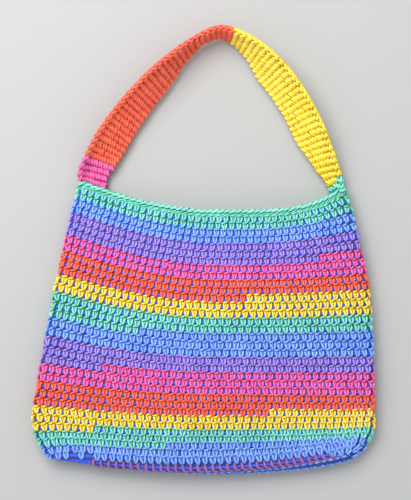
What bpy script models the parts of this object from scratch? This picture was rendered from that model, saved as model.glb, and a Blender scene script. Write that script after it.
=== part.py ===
"""Small crochet shoulder bag, lying flat on its back with its strap laid out above the mouth.

The body is one crocheted shell: rounds of stitches worked from a foundation chain at the base up
to the open rim, each round a ridge and a groove. The strap is a narrow strip worked in short rows,
which grows out of one corner of the rim and is sewn down at the other.

Units are metres. X runs across the bag, Y from the base to the strap and Z up from the surface.
While it is modelled, Y is 0 at the foundation chain; one empty then puts the origin under the
middle of the whole bag.
"""

import math

import bmesh
import bpy
import numpy as np

# Gauge of the crochet
ROUND_PITCH = 0.00575
WALL = 0.0050
GROOVE_DEPTH = 0.0018

# Body, along the middle of its wall
BASE_LINE = 0.226
BASE_WIDTH = 0.267
LEFT_TAPER = 0.0367
RIGHT_TAPER = 0.0225
BODY_LENGTH = 0.2072
CORNER_LENGTH = 0.0425
MOUTH_DIP = 0.0220
FOLD_RADIUS = 0.0045
BASE_TURN = 0.0032
BASE_TWIST = 0.0035
BASE_TURN_FADE = 0.060
BODY_CROWN = 0.0120
MOUTH_CROWN = 0.0060
RIM_ROUNDING = 0.0012
LEFT_TAPER_POWER = 1.14
RIGHT_TAPER_POWER = 3.1
CORNER_POWER = 10

# How much higher the ends of a round lie than its middle, as shares of the mouth's dip, and how
# sharply the round bends up towards them
SAG_STATIONS = (0.0, 0.07, 0.145, 0.22, 0.36, 0.51, 0.65, 0.80, 0.89, 0.96, 1.0)
LEFT_SAG = (0.48, 0.36, 0.23, 0.23, 0.39, 0.68, 0.86, 0.98, 1.02, 1.01, 1.0)
RIGHT_SAG = (0.48, 0.28, 0.02, -0.08, -0.06, 0.06, 0.17, 0.30, 0.54, 0.72, 0.77)
LEFT_SAG_POWER = 1.8
RIGHT_SAG_POWERS = (2.2, 2.2, 2.2, 2.2, 2.2, 2.2, 2.2, 2.2, 2.4, 3.4, 4.4)

# Patch of the back that the bag rests on, as shares of the way along and across the back
REST_PATCH_START = 0.30
REST_PATCH_END = 0.75
REST_PATCH_WIDTH = 0.60

# Strap
STRAP_PITCH = 0.0051
STRAP_THICKNESS = 0.0050
STRAP_GROOVE_DEPTH = 0.0010
STRAP_FLAT = 0.0240
STRAP_REACH = 0.1248
STRAP_APEX_SHIFT = 0.0061
STRAP_ROOT_LENGTH = 0.0200
SEAM_GAP = 0.0007
LEFT_ROOT_ANGLE = math.radians(96.4)
RIGHT_ROOT_ANGLE = math.radians(102.7)
LEFT_ROOT_PULL = 0.0408
LEFT_APEX_PULL = 0.0247
RIGHT_APEX_PULL = 0.0153
RIGHT_ROOT_PULL = 0.1037

# How far the strip leans up, how far its outer lip curls and how wide its flat part shows, along
# the way from left to right
STRAP_STATIONS = (0.0, 0.12, 0.32, 0.45, 0.53, 0.66, 0.85, 1.0)
LEAN_DEGREES = (4, 30, 46, 74, 74, 42, 28, 4)
CURL_DEGREES = (91, 65, 50, 16, 16, 54, 68, 91)
FLAT_SHARES = (0.65, 0.98, 0.88, 0.55, 0.68, 1.00, 0.89, 0.23)

# Fineness of the loft
FRONT_STEPS = 18
FOLD_STEPS = 4
FLAT_STEPS = 3
LIP_STEPS = 3
INNER_RINGS = 10
NORMAL_STEP = 0.0003
SPINE_STEPS = 200
CHAIN_SEAM = 0.0008

BODY_COLOR = (0.16, 0.42, 0.72, 1.0)
STRAP_COLOR = (0.95, 0.45, 0.05, 1.0)
YARN_ROUGHNESS = 0.7

FOLD_HEIGHT = FOLD_RADIUS + WALL / 2
QUARTER_TURN = math.pi / 2


def clear_scene():
    """Remove every object that the scene starts with."""
    for old in list(bpy.data.objects):
        bpy.data.objects.remove(old, do_unlink=True)


def base_turn(distance, place):
    """How far the foundation chain is turned from the bottom fold up onto the front of the bag."""
    share = min(distance / BASE_TURN_FADE, 1.0)
    fade = 1 - share ** 2 * (3 - 2 * share)
    return (BASE_TURN + BASE_TWIST * place) * fade


def fold_place(travel):
    """Height up the bag and level above the surface at a distance along the fabric from the
    bottom fold, above 0 on the front and below 0 on the back."""
    turn = min(max(travel / FOLD_RADIUS, -QUARTER_TURN), QUARTER_TURN)
    beyond = abs(travel) - FOLD_RADIUS * abs(turn)
    height = FOLD_RADIUS * (1 - math.cos(turn)) + beyond
    return height, FOLD_HEIGHT + FOLD_RADIUS * math.sin(turn)


def end_sag(distance, side):
    """How much higher an end of a round lies than its middle. The side is 1 for the right."""
    shares = RIGHT_SAG if side > 0 else LEFT_SAG
    return MOUTH_DIP * float(np.interp(distance / BODY_LENGTH, SAG_STATIONS, shares))


def sag_power(distance, side):
    """How sharply a round bends up towards an end."""
    if side < 0:
        return LEFT_SAG_POWER
    return float(np.interp(distance / BODY_LENGTH, SAG_STATIONS, RIGHT_SAG_POWERS))


def round_width(distance):
    """Middle and half width of a round."""
    if distance < CORNER_LENGTH:
        turn = QUARTER_TURN * distance / CORNER_LENGTH
        return 0.0, (BASE_LINE + (BASE_WIDTH - BASE_LINE) * math.sin(turn)) / 2
    share = (distance - CORNER_LENGTH) / (BODY_LENGTH - CORNER_LENGTH)
    left = -BASE_WIDTH / 2 + LEFT_TAPER * share ** LEFT_TAPER_POWER
    right = BASE_WIDTH / 2 - RIGHT_TAPER * share ** RIGHT_TAPER_POWER
    return (left + right) / 2, (right - left) / 2


def end_height(distance, side):
    """Height of a round's end, where the flat bag is folded. The side is 1 for the right."""
    if distance < CORNER_LENGTH:
        start = fold_place(base_turn(0.0, side))[0] + end_sag(0.0, side)
        full = fold_place(base_turn(CORNER_LENGTH, side) + CORNER_LENGTH)[0]
        climb = full + end_sag(CORNER_LENGTH, side) - start
        turn = QUARTER_TURN * distance / CORNER_LENGTH
        return start + climb * (1 - math.cos(turn))
    turned = base_turn(distance, side) + distance
    return fold_place(turned)[0] + end_sag(distance, side)


def crown(distance):
    """Height by which the middle of the front rises above the side folds."""
    share = min(distance / BODY_LENGTH, 1.0)
    return MOUTH_CROWN * share + BODY_CROWN * math.sin(math.pi * share)


def round_point(distance, place, face):
    """Height and level of a round at a place across it, on the front (1) or the back (-1)."""
    side = 1 if place > 0 else -1
    height, level = fold_place(base_turn(distance, place) + face * distance)
    front_end = fold_place(base_turn(distance, side) + distance)[0]
    back_end = fold_place(base_turn(distance, side) - distance)[0]
    sag = end_sag(distance, side)
    drop = (front_end + back_end) / 2 + sag - end_height(distance, side)
    height += sag * abs(place) ** sag_power(distance, side)
    height -= drop * abs(place) ** CORNER_POWER
    if face > 0:
        level += crown(distance) * (1 - place ** 2)
    return height, level


def column_positions():
    """Places across the front from -1 to 1, closer together towards the side folds."""
    even = np.linspace(-1, 1, FRONT_STEPS + 1)
    return (even + np.sin(QUARTER_TURN * even)) / 2


def round_ring(distance):
    """Middle of the wall around one round: across the front, then back across the back."""
    middle, half_width = round_width(distance)
    across = column_positions()
    ends = {}
    for side in (-1, 1):
        front = np.array(round_point(distance, side, 1))
        back = np.array(round_point(distance, side, -1))
        ends[side] = (front + back) / 2, (front - back) / 2
    radius = {side: np.linalg.norm(half) for side, (_, half) in ends.items()}

    def sideways(place):
        reach = half_width - radius[1 if place > 0 else -1]
        return middle + reach * place

    front = [(sideways(place), *round_point(distance, place, 1)) for place in across]
    back = [(sideways(place), *round_point(distance, place, -1)) for place in across[::-1]]
    turns = [math.pi * step / FOLD_STEPS for step in range(1, FOLD_STEPS)]
    folds = {1: [], -1: []}
    for side, (centre, half) in ends.items():
        for turn in turns:
            height, level = centre + half * math.cos(turn) * side
            out = sideways(side) + side * radius[side] * math.sin(turn)
            folds[side].append((out, height, level))
    return np.array(front + folds[1] + back + folds[-1])


def ring_normals(distance):
    """Directions out of the wall at the points of one round."""
    ring = round_ring(distance)
    around = np.roll(ring, -1, axis=0) - np.roll(ring, 1, axis=0)
    below = max(distance - NORMAL_STEP, 0.0)
    along = round_ring(distance + NORMAL_STEP) - round_ring(below)
    normals = np.cross(around, along)
    return normals / np.linalg.norm(normals, axis=1)[:, None]


def pressed_columns():
    """Which points of a round lie on the part of the back that the bag rests on."""
    across = column_positions()
    pressed = np.zeros(2 * (FRONT_STEPS + 1) + 2 * (FOLD_STEPS - 1), dtype=bool)
    start = FRONT_STEPS + FOLD_STEPS
    pressed[start:start + FRONT_STEPS + 1] = abs(across[::-1]) < REST_PATCH_WIDTH
    return pressed


def outer_ring(distance, depth):
    """One ring of the outer surface, sunk by a depth below the ridges of the rounds."""
    depths = np.full(len(pressed_columns()), depth)
    if REST_PATCH_START < distance / BODY_LENGTH < REST_PATCH_END:
        depths[pressed_columns()] = 0.0
    return round_ring(distance) + ring_normals(distance) * (WALL / 2 - depths)[:, None]


def inner_ring(distance):
    """One ring of the inner surface."""
    return round_ring(distance) - ring_normals(distance) * WALL / 2


def body_rings():
    """Rings of the body from the chain up the outside, over the rim and down the inside."""
    count = round(BODY_LENGTH / ROUND_PITCH)
    pitch = BODY_LENGTH / count
    rings = [outer_ring(CHAIN_SEAM, GROOVE_DEPTH)]
    for row in range(count):
        rings.append(outer_ring((row + 0.5) * pitch, 0.0))
        if row < count - 1:
            rings.append(outer_ring((row + 1) * pitch, GROOVE_DEPTH))
    rings.append(outer_ring(BODY_LENGTH, RIM_ROUNDING))
    rings.append(round_ring(BODY_LENGTH + RIM_ROUNDING))
    for step in range(INNER_RINGS):
        share = 1 - step / INNER_RINGS
        rings.append(inner_ring(CHAIN_SEAM + (BODY_LENGTH - CHAIN_SEAM) * share))
    rings.append(inner_ring(WALL / 2))
    return rings


def add_bands(bm, rings):
    """Join each ring of points to the next with a band of faces, and return the rings' vertices."""
    loops = []
    for ring in rings:
        loops.append([bm.verts.new(point) for point in ring])
    for lower, upper in zip(loops, loops[1:]):
        for here in range(len(lower)):
            there = (here + 1) % len(lower)
            bm.faces.new((lower[here], lower[there], upper[there], upper[here]))
    return loops


def close_fold(bm, loop):
    """Close a folded ring by joining its front to its back."""
    back_start = FRONT_STEPS + FOLD_STEPS
    front = loop[:FRONT_STEPS + 1]
    back = loop[back_start:back_start + FRONT_STEPS + 1][::-1]
    for here in range(FRONT_STEPS):
        bm.faces.new((front[here], back[here], back[here + 1], front[here + 1]))
    bm.faces.new(loop[FRONT_STEPS:back_start + 1])
    bm.faces.new(loop[back_start + FRONT_STEPS:] + [loop[0]])


def finish_object(bm, name, color, collection, parent):
    """Turn a closed mesh into a smooth object with its own material."""
    bmesh.ops.recalc_face_normals(bm, faces=bm.faces[:])
    mesh = bpy.data.meshes.new(name)
    bm.to_mesh(mesh)
    bm.free()
    mesh.shade_smooth()
    material = bpy.data.materials.new(name + "_yarn")
    material.use_nodes = True
    shader = material.node_tree.nodes["Principled BSDF"]
    shader.inputs["Base Color"].default_value = color
    shader.inputs["Roughness"].default_value = YARN_ROUGHNESS
    mesh.materials.append(material)
    made = bpy.data.objects.new(name, mesh)
    made.parent = parent
    collection.objects.link(made)
    return made


def make_body(collection, parent):
    """The crocheted shell, open at the mouth."""
    bm = bmesh.new()
    loops = add_bands(bm, body_rings())
    close_fold(bm, loops[0])
    close_fold(bm, loops[-1])
    return finish_object(bm, "bag_body", BODY_COLOR, collection, parent)


def mouth_point(side, across):
    """Middle of the rim's wall at a distance across the strap: below 0 inboard along the back,
    above 0 around the side fold towards the front. The side is 1 for right and -1 for left."""
    middle, half_width = round_width(BODY_LENGTH)
    reach = half_width - FOLD_RADIUS
    if across < 0:
        place = side * (reach + across) / reach
        height, level = round_point(BODY_LENGTH, place, -1)
        return np.array((middle + reach * place, height, level))
    turn = across / FOLD_RADIUS
    out = reach + FOLD_RADIUS * math.sin(turn)
    level = FOLD_HEIGHT - FOLD_RADIUS * math.cos(turn)
    return np.array((middle + side * out, end_height(BODY_LENGTH, side), level))


def strap_spine():
    """Curve in plan where the strap's flat part meets its lip, as two Bezier segments."""
    left = mouth_point(-1, 0.0)[:2]
    right = mouth_point(1, 0.0)[:2]
    apex = (left + right) / 2 + np.array((STRAP_APEX_SHIFT, STRAP_REACH))
    left_way = np.array((math.cos(LEFT_ROOT_ANGLE), math.sin(LEFT_ROOT_ANGLE)))
    right_way = np.array((math.cos(RIGHT_ROOT_ANGLE), math.sin(RIGHT_ROOT_ANGLE)))
    level = np.array((1.0, 0.0))
    first = (left, left + left_way * LEFT_ROOT_PULL, apex - level * LEFT_APEX_PULL, apex)
    second = (apex, apex + level * RIGHT_APEX_PULL, right + right_way * RIGHT_ROOT_PULL, right)
    points = []
    for segment in (first, second):
        for share in np.linspace(0, 1, SPINE_STEPS, endpoint=False):
            rest = 1 - share
            weights = (rest ** 3, 3 * rest ** 2 * share, 3 * rest * share ** 2, share ** 3)
            points.append(sum(weight * corner for weight, corner in zip(weights, segment)))
    points.append(right)
    return np.array(points)


def flat_steps(share):
    """Distances of the flat part's points from the lip, from the inner edge outwards."""
    flat = STRAP_FLAT * float(np.interp(share, STRAP_STATIONS, FLAT_SHARES))
    return [flat * (1 - step / FLAT_STEPS) for step in range(FLAT_STEPS)]


def strap_section(place, along, share):
    """Middle of the strip across its width at one place, from its inner edge to its lip."""
    lean = math.radians(np.interp(share, STRAP_STATIONS, LEAN_DEGREES))
    curl = math.radians(np.interp(share, STRAP_STATIONS, CURL_DEGREES))
    outward = np.array((-along[1], along[0], 0.0))
    up = np.array((0.0, 0.0, 1.0))
    slope = outward * math.cos(lean) + up * math.sin(lean)
    face = up * math.cos(lean) - outward * math.sin(lean)
    inboard = flat_steps(share)
    spine = np.array((place[0], place[1], STRAP_THICKNESS / 2 + inboard[0] * math.sin(lean)))
    section = [spine - slope * distance for distance in inboard]
    for step in range(LIP_STEPS + 1):
        turn = curl * step / LIP_STEPS
        out = FOLD_RADIUS * math.sin(turn)
        section.append(spine + slope * out + face * FOLD_RADIUS * (1 - math.cos(turn)))
    return np.array(section)


def root_section(side):
    """Middle of the strip where it meets the rim, along the back and around the side fold."""
    share = 1.0 if side > 0 else 0.0
    across = [-distance for distance in flat_steps(share)]
    curl = math.radians(np.interp(share, STRAP_STATIONS, CURL_DEGREES))
    across += [FOLD_RADIUS * curl * step / LIP_STEPS for step in range(LIP_STEPS + 1)]
    return np.array([mouth_point(side, distance) for distance in across])


def strap_sections():
    """Middle of the strip at each ridge and groove, from the left root to the right one."""
    spine = strap_spine()
    steps = np.linalg.norm(np.diff(spine, axis=0), axis=1)
    travelled = np.concatenate(((0.0,), np.cumsum(steps)))
    length = travelled[-1]
    count = 2 * round(length / STRAP_PITCH)
    start = RIM_ROUNDING + SEAM_GAP
    sections = []
    for step in range(count + 1):
        distance = start + (length - 2 * start) * step / count
        place = np.array([np.interp(distance, travelled, spine[:, axis]) for axis in (0, 1)])
        ahead = np.array([np.interp(distance + NORMAL_STEP, travelled, spine[:, axis])
                          for axis in (0, 1)])
        behind = np.array([np.interp(distance - NORMAL_STEP, travelled, spine[:, axis])
                           for axis in (0, 1)])
        along = (ahead - behind) / np.linalg.norm(ahead - behind)
        section = strap_section(place, along, distance / length)
        for side, gone in ((-1, distance), (1, length - distance)):
            if gone < STRAP_ROOT_LENGTH:
                angle = LEFT_ROOT_ANGLE if side < 0 else RIGHT_ROOT_ANGLE
                way = np.array((math.cos(angle), math.sin(angle), 0.0))
                blend = 0.5 + 0.5 * math.cos(math.pi * (gone - start) / STRAP_ROOT_LENGTH)
                rooted = root_section(side) + way * gone
                section = section * (1 - blend) + rooted * blend
        sections.append(section)
    return np.array(sections)


def strap_rings():
    """Rings around the strip's thickness, alternately a ridge and a groove."""
    sections = strap_sections()
    along = np.gradient(sections, axis=0)
    across = np.gradient(sections, axis=1)
    normals = np.cross(along, across)
    normals /= np.linalg.norm(normals, axis=2)[:, :, None]
    rings = []
    for step, (section, normal) in enumerate(zip(sections, normals)):
        depth = STRAP_GROOVE_DEPTH if step % 2 == 0 else 0.0
        shift = normal * (STRAP_THICKNESS / 2 - depth)
        rings.append(np.concatenate((section + shift, (section - shift)[::-1])))
    return rings


def close_strip(bm, loop):
    """Close one end of the strip between its two faces."""
    half = len(loop) // 2
    for here in range(half - 1):
        bm.faces.new((loop[here], loop[here + 1], loop[-2 - here], loop[-1 - here]))


def make_strap(collection, parent):
    """The ribbed strip that forms the strap."""
    bm = bmesh.new()
    loops = add_bands(bm, strap_rings())
    close_strip(bm, loops[0])
    close_strip(bm, loops[-1])
    return finish_object(bm, "strap", STRAP_COLOR, collection, parent)


def centre_on_surface(root, parts):
    """Move the root so that the whole bag stands on Z 0 with its middle over the origin."""
    corners = np.concatenate([np.array([vertex.co[:] for vertex in part.data.vertices])
                              for part in parts])
    low = corners.min(axis=0)
    high = corners.max(axis=0)
    root.location = (-(low[0] + high[0]) / 2, -(low[1] + high[1]) / 2, -low[2])


def main():
    clear_scene()
    collection = bpy.data.collections.new("crochet_bag")
    bpy.context.scene.collection.children.link(collection)
    root = bpy.data.objects.new("crochet_bag_origin", None)
    collection.objects.link(root)
    parts = [make_body(collection, root), make_strap(collection, root)]
    centre_on_surface(root, parts)
    bpy.context.view_layer.update()


main()
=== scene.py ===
"""Looks of a small crochet shoulder bag, lying flat on its back on a plain floor.

Every stitch is a piece of yarn laid on the fabric by Geometry Nodes. The body is one spiral of
rounds, worked over a royal blue cord in yarn that changes colour as it runs; the strap is worked
in short ribbed rows. Units are metres, and X runs across the bag, Y from the base to the strap and
Z up from the floor.
"""

import math

import bmesh
import bpy
import numpy as np
from bpy.props import FloatProperty, FloatVectorProperty, IntProperty, PointerProperty
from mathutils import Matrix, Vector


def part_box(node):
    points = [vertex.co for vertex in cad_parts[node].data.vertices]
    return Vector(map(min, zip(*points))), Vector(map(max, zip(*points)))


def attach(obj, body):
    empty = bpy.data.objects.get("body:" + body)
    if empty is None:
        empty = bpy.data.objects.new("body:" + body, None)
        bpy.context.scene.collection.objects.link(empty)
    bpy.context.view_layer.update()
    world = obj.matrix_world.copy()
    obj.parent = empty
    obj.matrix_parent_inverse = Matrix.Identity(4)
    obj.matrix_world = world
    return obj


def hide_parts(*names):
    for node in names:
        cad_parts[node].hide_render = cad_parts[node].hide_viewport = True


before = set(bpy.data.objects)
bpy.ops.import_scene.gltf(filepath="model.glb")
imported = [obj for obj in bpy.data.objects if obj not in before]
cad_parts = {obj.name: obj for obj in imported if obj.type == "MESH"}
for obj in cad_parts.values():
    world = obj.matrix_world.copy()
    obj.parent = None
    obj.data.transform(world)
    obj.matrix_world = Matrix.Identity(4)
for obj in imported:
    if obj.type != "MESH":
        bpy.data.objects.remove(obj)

bl_info = {
    "name": "Crochet Shoulder Bag",
    "version": (1, 0, 0),
    "blender": (4, 5, 0),
    "location": "3D Viewport > Sidebar > Crochet Bag",
    "description": "Works a small striped crochet bag stitch by stitch over a carried cord",
    "category": "Add Mesh",
}

MM = 0.001
QUARTER_TURN = math.pi / 2

# Body, along the middle of its wall
WALL = 0.0050
BASE_LINE = 0.226
BASE_WIDTH = 0.267
LEFT_TAPER = 0.0367
RIGHT_TAPER = 0.0225
BODY_LENGTH = 0.2072
CORNER_LENGTH = 0.0425
MOUTH_DIP = 0.0220
FOLD_RADIUS = 0.0045
FOLD_HEIGHT = FOLD_RADIUS + WALL / 2
BASE_TURN = 0.0032
BASE_TWIST = 0.0035
BASE_TURN_FADE = 0.060
BODY_CROWN = 0.0120
MOUTH_CROWN = 0.0060
RIM_ROUNDING = 0.0012
LEFT_TAPER_POWER = 1.14
RIGHT_TAPER_POWER = 3.1
CORNER_POWER = 10

# How much higher the ends of a round lie than its middle, as shares of the mouth's dip, and how
# sharply the round bends up towards them
SAG_STATIONS = (0.0, 0.07, 0.145, 0.22, 0.36, 0.51, 0.65, 0.80, 0.89, 0.96, 1.0)
LEFT_SAG = (0.48, 0.36, 0.23, 0.23, 0.39, 0.68, 0.86, 0.98, 1.02, 1.01, 1.0)
RIGHT_SAG = (0.48, 0.28, 0.02, -0.08, -0.06, 0.06, 0.17, 0.30, 0.54, 0.72, 0.77)
LEFT_SAG_POWER = 1.8
RIGHT_SAG_POWERS = (2.2, 2.2, 2.2, 2.2, 2.2, 2.2, 2.2, 2.2, 2.4, 3.4, 4.4)

# Strap
STRAP_THICKNESS = 0.0050
STRAP_FLAT = 0.0240
STRAP_REACH = 0.1248
STRAP_APEX_SHIFT = 0.0061
STRAP_ROOT_LENGTH = 0.0200
SEAM_GAP = 0.0007
LEFT_ROOT_ANGLE = math.radians(96.4)
RIGHT_ROOT_ANGLE = math.radians(102.7)
LEFT_ROOT_PULL = 0.0408
LEFT_APEX_PULL = 0.0247
RIGHT_APEX_PULL = 0.0153
RIGHT_ROOT_PULL = 0.1037
STRAP_STATIONS = (0.0, 0.12, 0.32, 0.45, 0.53, 0.66, 0.85, 1.0)
LEAN_DEGREES = (4, 30, 46, 74, 74, 42, 28, 4)
CURL_DEGREES = (91, 65, 50, 16, 16, 54, 68, 91)
FLAT_SHARES = (0.65, 0.98, 0.88, 0.55, 0.68, 1.00, 0.89, 0.23)

# The spiral of rounds: turns made from the right side fold, and how far up the fabric they lie
# from the foundation. The front of the bag is the first half of each turn, from right to left.
SPIRAL_TURNS = (0.0, 0.25, 0.43, 0.50, 0.62, 0.86, 0.95, 1.0, 1.25, 1.5, 1.75, 3.25, 10.25,
                15.25, 18.25, 24.25, 30.25, 34.25, 35.0)
SPIRAL_CLIMB = (0.0032, 0.0036, 0.0042, 0.0044, 0.0045, 0.0050, 0.0066, 0.0085, 0.0099, 0.0107,
                0.0119, 0.0222, 0.0625, 0.0914, 0.1098, 0.1456, 0.1792, 0.2012, 0.2038)
ROUND_HEIGHT = 0.0058
ROUND_SHIFT = -0.26
CORD_DROP = 0.0004
CORD_DEPTH = 0.0004
FRONT_MIDDLE = 0.25
RIM_PLACE = 0.2060

# Turns at which the stitches of the right corner end, the foundation ends and two stitches are
# left out, where the fabric gapes at the left corner
CORNER_END = 0.034
FOUNDATION_END = 0.52
FOUNDATION_REST = 0.05
WIDE_GAPS = (1.431, 1.457)

# Turn at which the yarn changes to each colour, as it was dyed
COLOUR_TURNS = (
    (0.0, "light_blue"),
    (CORNER_END, "mauve"),
    (FOUNDATION_END, "light_blue"),
    (3.31, "green"),
    (5.41, "yellow"),
    (8.16, "orange"),
    (10.75, "pink"),
    (13.405, "purple"),
    (15.70, "light_blue"),
    (18.36, "green"),
    (20.70, "yellow"),
    (23.195, "orange"),
    (25.70, "pink"),
    (28.08, "purple"),
    (30.70, "light_blue"),
    (32.70, "green"),
)
BODY_COLOURS = ("light_blue", "green", "yellow", "orange", "pink", "purple")

# How far from the strap's left root its yarn changes, at the inner edge and at the lip
STRAP_COLOURS = (
    ("pink", 0.0, 0.0),
    ("orange", 0.0224, 0.0240),
    ("yellow", 0.1796, 0.1800),
    ("green", 0.3300, 0.3230),
)
STRAP_CHANGE_POWER = 1.5

# Where the body's grid starts and how far it goes on past the rim, and the corners and steps that
# the body's and the strap's grids are made with and read at
BODY_START = 0.0008
BODY_BEYOND = 0.002
BODY_ROWS = 240
BODY_COLUMNS = 540
STRAP_ROWS = 240
STRAP_COLUMNS = 37
FLAT_STEPS = 24
CURL_STEPS = 14
SPINE_STEPS = 200
SLOPE_STEP = 0.0003
RING_STEPS = 720
SECTION_STEPS = 60

# Rounds of the body: width that the stitch was drawn for, slant at the base and at the rim, and
# how far a stitch is drawn out to the height of its round
ROUNDS = 35
STITCH_MM = 5.8
RIM_STITCH_MM = 4.7
BASE_SLANT = 0.14
RIM_SLANT = 0.01
STITCH_STRETCH = (0.95, 1.25)

# Posts along the foundation and loops behind it, over turns of the spiral
FOUNDATION_TURNS = (0.036, 0.43)
FOUNDATION_COUNT = 33
FOUNDATION_WIDTH = 0.0064
FOUNDATION_SLANT = 0.05
LOOP_TURNS = (0.50, 1.025)
LOOP_COUNT = 46
LOOP_WIDTH = 0.0058
LOOP_PLACE = 0.0012

# Cord: first turn, rings in a turn and corners of a ring
CORD_START = 0.02
CORD_STEPS = 110
CORD_SIDES = 7

# Inner yarn: corners up and around it, how far it reaches off the middle of the wall, and how far
# its colour is darkened beside the stitches, as painted shade in the holes between them
BACKING_ROWS = 110
BACKING_COLUMNS = 360
BACKING_START = 0.0012
BACKING_OUT = 0.0003
BACKING_IN = 0.0014
BACKING_PAINTED_SHADE = 0.4
STRAP_BACKING_ROWS = 130
STRAP_BACKING_COLUMNS = 24
STRAP_BACKING_HALF = 0.0007
STRAP_BACKING_PAINTED_SHADE = 0.75

# How far the chain along the strap's lip stands out
LIP_SHIFT = 0.0008

# Added to the chosen seed for each kind of stitch
FOUNDATION_SEED = 11
RIM_SEED = 12
LOOP_SEED = 13
STRAP_SEED = 20
LIP_SEED = 30

# Stage: the floor under the lowest stitches, the room and window light, and the camera's place
# and field, which frame the bag as in the photo
FLOOR_LEVEL = -0.0012
FLOOR_CORNERS = ((-3.0, -3.0), (3.0, -3.0), (3.0, 3.0), (-3.0, 3.0))
SKY_COLOUR = (0.96, 0.98, 1.0, 1)
WINDOW_SIZE = (1.1, 0.8)
WINDOW_PLACE = (-0.45, 0.72, 0.95)
CAMERA_ACROSS = 0.0016
CAMERA_UP = 0.1753
SENSOR_HEIGHT = 36
PHOTO_HEIGHT_PX = 500
METRES_PER_PX = 0.000797

# Solid that the pieces stand for, and their material slot
BODY_PART = (("bag_body",), "body_yarn")
STRAP_PART = (("strap",), "strap_yarn")


def srgb(red, green, blue):
    """Linear colour of a colour given as it looks on a screen, from 0 to 255."""
    channels = []
    for value in (red, green, blue):
        share = value / 255
        channels.append(share / 12.92 if share <= 0.04045 else ((share + 0.055) / 1.055) ** 2.4)
    return tuple(channels)


# Shape of the fabric


def base_turn(distance, place):
    """How far the foundation is turned from the bottom fold up onto the front of the bag."""
    share = min(distance / BASE_TURN_FADE, 1.0)
    fade = 1 - share ** 2 * (3 - 2 * share)
    return (BASE_TURN + BASE_TWIST * place) * fade


def fold_place(travel):
    """Height up the bag and level above the floor at a distance along the fabric from the bottom
    fold, above 0 on the front and below 0 on the back."""
    turn = np.clip(travel / FOLD_RADIUS, -QUARTER_TURN, QUARTER_TURN)
    beyond = np.abs(travel) - FOLD_RADIUS * np.abs(turn)
    return FOLD_RADIUS * (1 - np.cos(turn)) + beyond, FOLD_HEIGHT + FOLD_RADIUS * np.sin(turn)


def end_sag(distance, side):
    """How much higher an end of a round lies than its middle. The side is 1 for the right."""
    shares = RIGHT_SAG if side > 0 else LEFT_SAG
    return MOUTH_DIP * float(np.interp(distance / BODY_LENGTH, SAG_STATIONS, shares))


def sag_power(distance, side):
    """How sharply a round bends up towards an end."""
    if side < 0:
        return LEFT_SAG_POWER
    return float(np.interp(distance / BODY_LENGTH, SAG_STATIONS, RIGHT_SAG_POWERS))


def round_width(distance):
    """Middle and half width of a round."""
    if distance < CORNER_LENGTH:
        turn = QUARTER_TURN * distance / CORNER_LENGTH
        return 0.0, (BASE_LINE + (BASE_WIDTH - BASE_LINE) * math.sin(turn)) / 2
    share = (distance - CORNER_LENGTH) / (BODY_LENGTH - CORNER_LENGTH)
    left = -BASE_WIDTH / 2 + LEFT_TAPER * share ** LEFT_TAPER_POWER
    right = BASE_WIDTH / 2 - RIGHT_TAPER * share ** RIGHT_TAPER_POWER
    return (left + right) / 2, (right - left) / 2


def end_height(distance, side):
    """Height of a round's end, where the flat bag is folded."""
    if distance < CORNER_LENGTH:
        start = fold_place(base_turn(0.0, side))[0] + end_sag(0.0, side)
        full = fold_place(base_turn(CORNER_LENGTH, side) + CORNER_LENGTH)[0]
        climb = full + end_sag(CORNER_LENGTH, side) - start
        turn = QUARTER_TURN * distance / CORNER_LENGTH
        return start + climb * (1 - math.cos(turn))
    turned = base_turn(distance, side) + distance
    return fold_place(turned)[0] + end_sag(distance, side)


def crown(distance):
    """Height by which the middle of the front rises above the side folds."""
    share = min(distance / BODY_LENGTH, 1.0)
    return MOUTH_CROWN * share + BODY_CROWN * math.sin(math.pi * share)


def end_drop(distance, side):
    """How far a round's end is pulled down from the curve of its middle."""
    front = fold_place(base_turn(distance, side) + distance)[0]
    back = fold_place(base_turn(distance, side) - distance)[0]
    return (front + back) / 2 + end_sag(distance, side) - end_height(distance, side)


def round_point(distance, place, face):
    """Height and level of a round at places across it, on the front (1) or the back (-1)."""
    height, level = fold_place(base_turn(distance, place) + face * distance)
    drop, sag, power = (np.where(place > 0, read(distance, 1), read(distance, -1))
                        for read in (end_drop, end_sag, sag_power))
    height = height + sag * np.abs(place) ** power - drop * np.abs(place) ** CORNER_POWER
    if face > 0:
        level = level + crown(distance) * (1 - place ** 2)
    return height, level


def ring_line(distance, steps=90, fold_steps=16):
    """Middle of the wall around one round, from the middle of the front towards its left."""
    middle, half_width = round_width(distance)
    ends = {}
    for side in (-1, 1):
        front = np.array(round_point(distance, np.array(float(side)), 1))
        back = np.array(round_point(distance, np.array(float(side)), -1))
        half = (front - back) / 2
        ends[side] = ((front + back) / 2, half, np.linalg.norm(half))

    def stretch(places, face):
        reach = half_width - np.where(places > 0, ends[1][2], ends[-1][2])
        heights, levels = round_point(distance, places, face)
        return np.stack((middle + reach * places, heights, levels), axis=1)

    def fold(side):
        centre, half, radius = ends[side]
        turns = np.linspace(0, math.pi, fold_steps + 2)[1:-1]
        swing = centre - side * half * np.cos(turns)[:, None]
        out = middle + side * (half_width - radius + radius * np.sin(turns))
        return np.column_stack((out, swing))

    return np.concatenate((
        stretch(np.linspace(0, -1, steps), 1),
        fold(-1),
        stretch(np.linspace(-1, 1, 2 * steps), -1),
        fold(1),
        stretch(np.linspace(1, 0, steps), 1)[:-1],
    ))


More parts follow.
